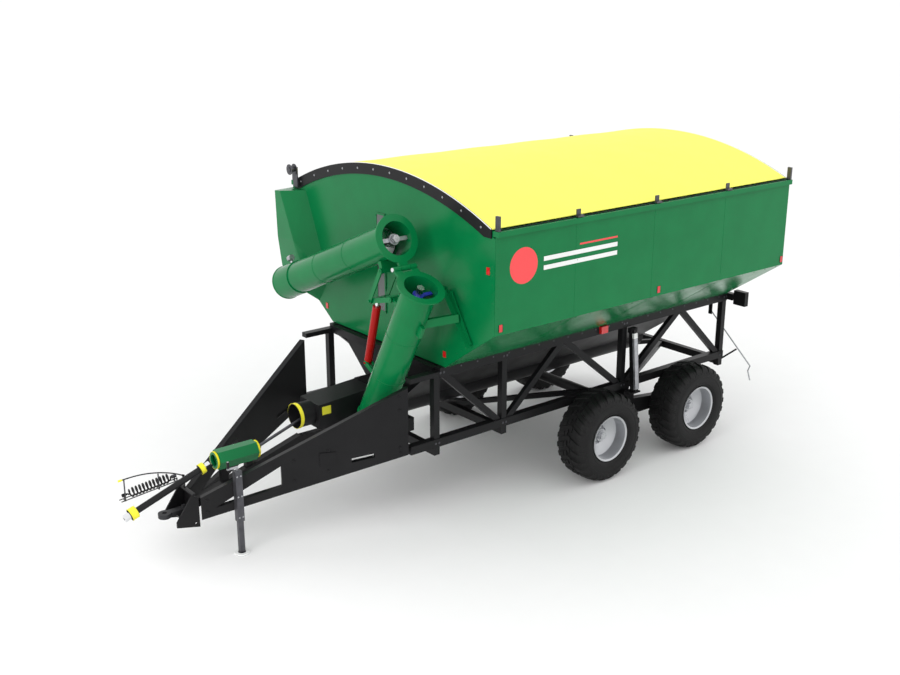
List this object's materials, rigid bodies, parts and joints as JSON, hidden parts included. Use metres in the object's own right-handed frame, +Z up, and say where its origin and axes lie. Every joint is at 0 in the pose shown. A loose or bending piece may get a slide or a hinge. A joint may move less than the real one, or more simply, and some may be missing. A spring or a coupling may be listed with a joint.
{
  "type": "grain cart",
  "caption": "Towed tandem-axle grain cart: green hopper with a yellow roof tarp on black side trusses, folding corner auger, drawbar, parking jack and driveline.",
  "frame": {"origin": "centre of the bounding box in plan, on the ground, measured without the hose and the coiled lead", "axes": "+X forward to the tractor, +Y to the machine's left, +Z up"},
  "size_m": [8.6697, 4.08, 4.044],
  "materials": {
    "chassis_paint": "satin black",
    "forged_steel": "forged, dark",
    "green_paint": "gloss green",
    "black_paint": "satin black",
    "zinc_steel": "zinc plated",
    "tarp_fabric": "coated cloth",
    "black_plastic": "moulded",
    "bearing_blue": "gloss",
    "bright_steel": "bright",
    "window_grey": "smoked",
    "red_lens": "gloss",
    "tyre_rubber": "moulded",
    "silver_paint": "metallic",
    "auger_steel": "polished by grain",
    "red_paint": "gloss",
    "dark_steel": "dark",
    "black_rubber": "smooth",
    "yellow_plastic": "moulded"
  },
  "bodies": {
    "frame": {"truss_left": "chassis_paint", "truss_right": "chassis_paint", "cross_members": "chassis_paint", "drawbar_left": "chassis_paint", "drawbar_right": "chassis_paint", "drawbar_spine": "chassis_paint", "hitch_head": "chassis_paint", "tow_eye": "forged_steel", "hopper_left_side": "green_paint", "hopper_right_side": "green_paint", "hopper_front_wall": "green_paint", "hopper_rear_wall": "green_paint", "hopper_nose": "green_paint", "hopper_floor": "black_paint", "top_rails": "green_paint", "end_arches": "black_paint", "tarp": "tarp_fabric", "tarp_fittings": "zinc_steel", "front_sump": "black_paint", "gearbox": "forged_steel", "driveline_guard": "black_plastic", "lower_tube": "green_paint", "lower_bearing": "bearing_blue", "hinge_pin": "bright_steel", "auger_brace": "green_paint", "sight_window": "window_grey", "lights": "red_lens", "axle_hangers": "chassis_paint", "jack_body": "zinc_steel", "pto_housing": "green_paint", "hose_carrier": "dark_steel", "brake_hose": "black_rubber", "lead_coil": "black_rubber", "cord_ends": "yellow_plastic"},
    "bogie_left": {"bogie_left": "chassis_paint"},
    "bogie_right": {"bogie_right": "chassis_paint"},
    "wheel_front_left": {"tyre_front_left": "tyre_rubber", "rim_front_left": "silver_paint"},
    "wheel_rear_left": {"tyre_rear_left": "tyre_rubber", "rim_rear_left": "silver_paint"},
    "wheel_front_right": {"tyre_front_right": "tyre_rubber", "rim_front_right": "silver_paint"},
    "wheel_rear_right": {"tyre_rear_right": "tyre_rubber", "rim_rear_right": "silver_paint"},
    "floor_auger": {"floor_auger": "auger_steel"},
    "lower_screw": {"lower_screw": "auger_steel"},
    "upper_auger": {"upper_tube": "green_paint", "upper_bearing": "bearing_blue", "work_light": "zinc_steel"},
    "upper_screw": {"upper_screw": "auger_steel"},
    "fold_links": {"fold_links": "green_paint"},
    "rocker_links": {"rocker_links": "green_paint"},
    "cylinder_barrel": {"cylinder_barrel": "red_paint"},
    "cylinder_rod": {"cylinder_rod": "bright_steel"},
    "jack_leg": {"jack_leg": "zinc_steel"},
    "jack_crank": {"jack_crank": "zinc_steel"},
    "gate_crank": {"gate_crank": "zinc_steel"},
    "pto_guard": {"pto_guard": "black_plastic"},
    "pto_front_shaft": {"pto_front_shaft": "bright_steel"},
    "pto_rear_shaft": {"pto_rear_shaft": "dark_steel"}
  },
  "joints": [
    {"name": "bogie_left_rock", "type": "hinge", "parent": "frame", "child": "bogie_left", "pos_m": [-2.22887, 1.09, 0.64], "axis": [0, 1, 0], "range_deg": [-8, 8]},
    {"name": "bogie_right_rock", "type": "hinge", "parent": "frame", "child": "bogie_right", "pos_m": [-2.22887, -1.09, 0.64], "axis": [0, 1, 0], "range_deg": [-8, 8]},
    {"name": "wheel_front_left_spin", "type": "hinge", "parent": "bogie_left", "child": "wheel_front_left", "pos_m": [-1.37887, 1.45, 0.58], "axis": [0, 1, 0], "continuous": true},
    {"name": "wheel_rear_left_spin", "type": "hinge", "parent": "bogie_left", "child": "wheel_rear_left", "pos_m": [-3.07887, 1.45, 0.58], "axis": [0, 1, 0], "continuous": true},
    {"name": "wheel_front_right_spin", "type": "hinge", "parent": "bogie_right", "child": "wheel_front_right", "pos_m": [-1.37887, -1.45, 0.58], "axis": [0, 1, 0], "continuous": true},
    {"name": "wheel_rear_right_spin", "type": "hinge", "parent": "bogie_right", "child": "wheel_rear_right", "pos_m": [-3.07887, -1.45, 0.58], "axis": [0, 1, 0], "continuous": true},
    {"name": "auger_fold", "type": "hinge", "parent": "frame", "child": "upper_auger", "pos_m": [1.38113, 1.08063, 3.11726], "axis": [-1, 0, 0], "range_deg": [0, 140]},
    {"name": "fold_links_turn", "type": "hinge", "parent": "upper_auger", "child": "fold_links", "pos_m": [1.38113, 0.79053, 3.03875], "axis": [-1, 0, 0], "range_deg": [-116.89, 2]},
    {"name": "rocker_links_turn", "type": "hinge", "parent": "frame", "child": "rocker_links", "pos_m": [1.38113, 0.93047, 2.73963], "axis": [-1, 0, 0], "range_deg": [-2, 99.76]},
    {"name": "cylinder_swing", "type": "hinge", "parent": "frame", "child": "cylinder_barrel", "pos_m": [1.38113, 0.34687, 1.84469], "axis": [-1, 0, 0], "range_deg": [-20, 20]},
    {"name": "cylinder_stroke", "type": "slide", "parent": "cylinder_barrel", "child": "cylinder_rod", "axis": [0, 0.2709, 0.9626], "range_m": [-0.01, 0.543]},
    {"name": "floor_auger_spin", "type": "hinge", "parent": "frame", "child": "floor_auger", "pos_m": [-1.11887, 0, 1.19], "axis": [1, 0, 0], "continuous": true},
    {"name": "lower_screw_spin", "type": "hinge", "parent": "frame", "child": "lower_screw", "pos_m": [1.38113, 0.333, 1], "axis": [0, 0.4679, 0.8838], "continuous": true},
    {"name": "upper_screw_spin", "type": "hinge", "parent": "upper_auger", "child": "upper_screw", "pos_m": [1.38113, 0.95381, 3.42192], "axis": [0, -0.9232, -0.3843], "continuous": true},
    {"name": "pto_swing", "type": "hinge", "parent": "frame", "child": "pto_guard", "pos_m": [3.30113, 0, 0.978], "axis": [0, 1, 0], "range_deg": [-12, 8]},
    {"name": "pto_front_spin", "type": "hinge", "parent": "pto_guard", "child": "pto_front_shaft", "pos_m": [3.30113, 0, 0.978], "axis": [0.945, 0, -0.327], "continuous": true},
    {"name": "pto_rear_spin", "type": "hinge", "parent": "frame", "child": "pto_rear_shaft", "pos_m": [2.71313, 0, 1.01], "axis": [0.9488, 0, -0.3159], "continuous": true},
    {"name": "jack_slide", "type": "slide", "parent": "frame", "child": "jack_leg", "axis": [0, 0, 1], "range_m": [0, 0.35]},
    {"name": "jack_crank_turn", "type": "hinge", "parent": "frame", "child": "jack_crank", "pos_m": [3.17113, 0.398, 1], "axis": [0, 0, 1], "range_deg": [-5, 5045]},
    {"name": "gate_crank_turn", "type": "hinge", "parent": "frame", "child": "gate_crank", "pos_m": [-4.28887, 0.83, 1.526], "axis": [0, 0.754, -0.6569], "continuous": true}
  ],
  "couplings": [
    {"joint": "jack_crank_turn", "follows": "jack_slide", "rad_per_m": 251.33},
    {"joint": "fold_links_turn", "follows": "auger_fold", "ratio": -0.82067},
    {"joint": "rocker_links_turn", "follows": "auger_fold", "ratio": 0.69829},
    {"joint": "cylinder_swing", "follows": "auger_fold", "ratio": 0.055226},
    {"joint": "cylinder_stroke", "follows": "auger_fold", "m_per_rad": 0.21813},
    {"joint": "pto_front_spin", "follows": "floor_auger_spin", "ratio": 1},
    {"joint": "pto_rear_spin", "follows": "floor_auger_spin", "ratio": 1},
    {"joint": "lower_screw_spin", "follows": "floor_auger_spin", "ratio": 1}
  ]
}
